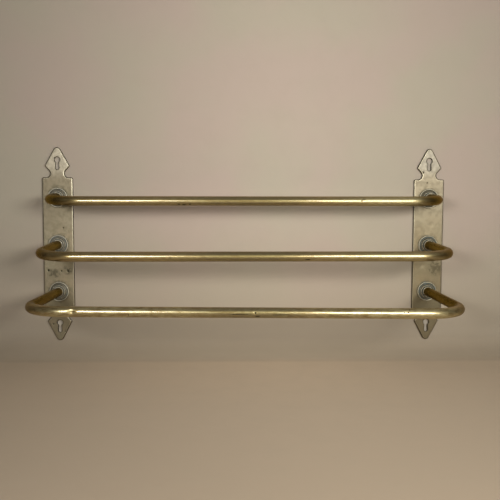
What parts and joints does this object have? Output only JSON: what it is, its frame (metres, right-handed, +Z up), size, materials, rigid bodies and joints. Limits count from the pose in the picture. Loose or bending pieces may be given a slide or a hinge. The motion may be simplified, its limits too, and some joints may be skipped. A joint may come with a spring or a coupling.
{
  "type": "towel rail",
  "caption": "Wall towel rail in aged brass: bent tube rails, each reaching further out than the one above, between flat back plates with spade-shaped ends and keyhole slots.",
  "frame": {"origin": "the middle of the four wall-screw holes, on the wall plane that the plates' backs lie on", "axes": "+X to the right as one faces the rail, +Z up, -Y out from the wall towards the room"},
  "size_m": [0.5734, 0.1988, 0.2759],
  "materials": {
    "tube_brass": "aged, dark golden brown",
    "plate_brass": "worn, mottled grey-gold",
    "rosette_brass": "aged, with verdigris",
    "ferrule_brass": "worn bright",
    "plug_brass": "as turned",
    "screw_brass": "dull"
  },
  "bodies": {
    "root": {"rail_top": "tube_brass", "rail_middle": "tube_brass", "rail_bottom": "tube_brass", "back_plate_left": "plate_brass", "rosette_left_top": "rosette_brass", "ferrule_left_top": "ferrule_brass", "end_plug_left_top": "plug_brass", "fixing_screw_left_top": "screw_brass", "rosette_left_middle": "rosette_brass", "ferrule_left_middle": "ferrule_brass", "end_plug_left_middle": "plug_brass", "fixing_screw_left_middle": "screw_brass", "rosette_left_bottom": "rosette_brass", "ferrule_left_bottom": "ferrule_brass", "end_plug_left_bottom": "plug_brass", "fixing_screw_left_bottom": "screw_brass", "back_plate_right": "plate_brass", "rosette_right_top": "rosette_brass", "ferrule_right_top": "ferrule_brass", "end_plug_right_top": "plug_brass", "fixing_screw_right_top": "screw_brass", "rosette_right_middle": "rosette_brass", "ferrule_right_middle": "ferrule_brass", "end_plug_right_middle": "plug_brass", "fixing_screw_right_middle": "screw_brass", "rosette_right_bottom": "rosette_brass", "ferrule_right_bottom": "ferrule_brass", "end_plug_right_bottom": "plug_brass", "fixing_screw_right_bottom": "screw_brass"}
  },
  "joints": []
}
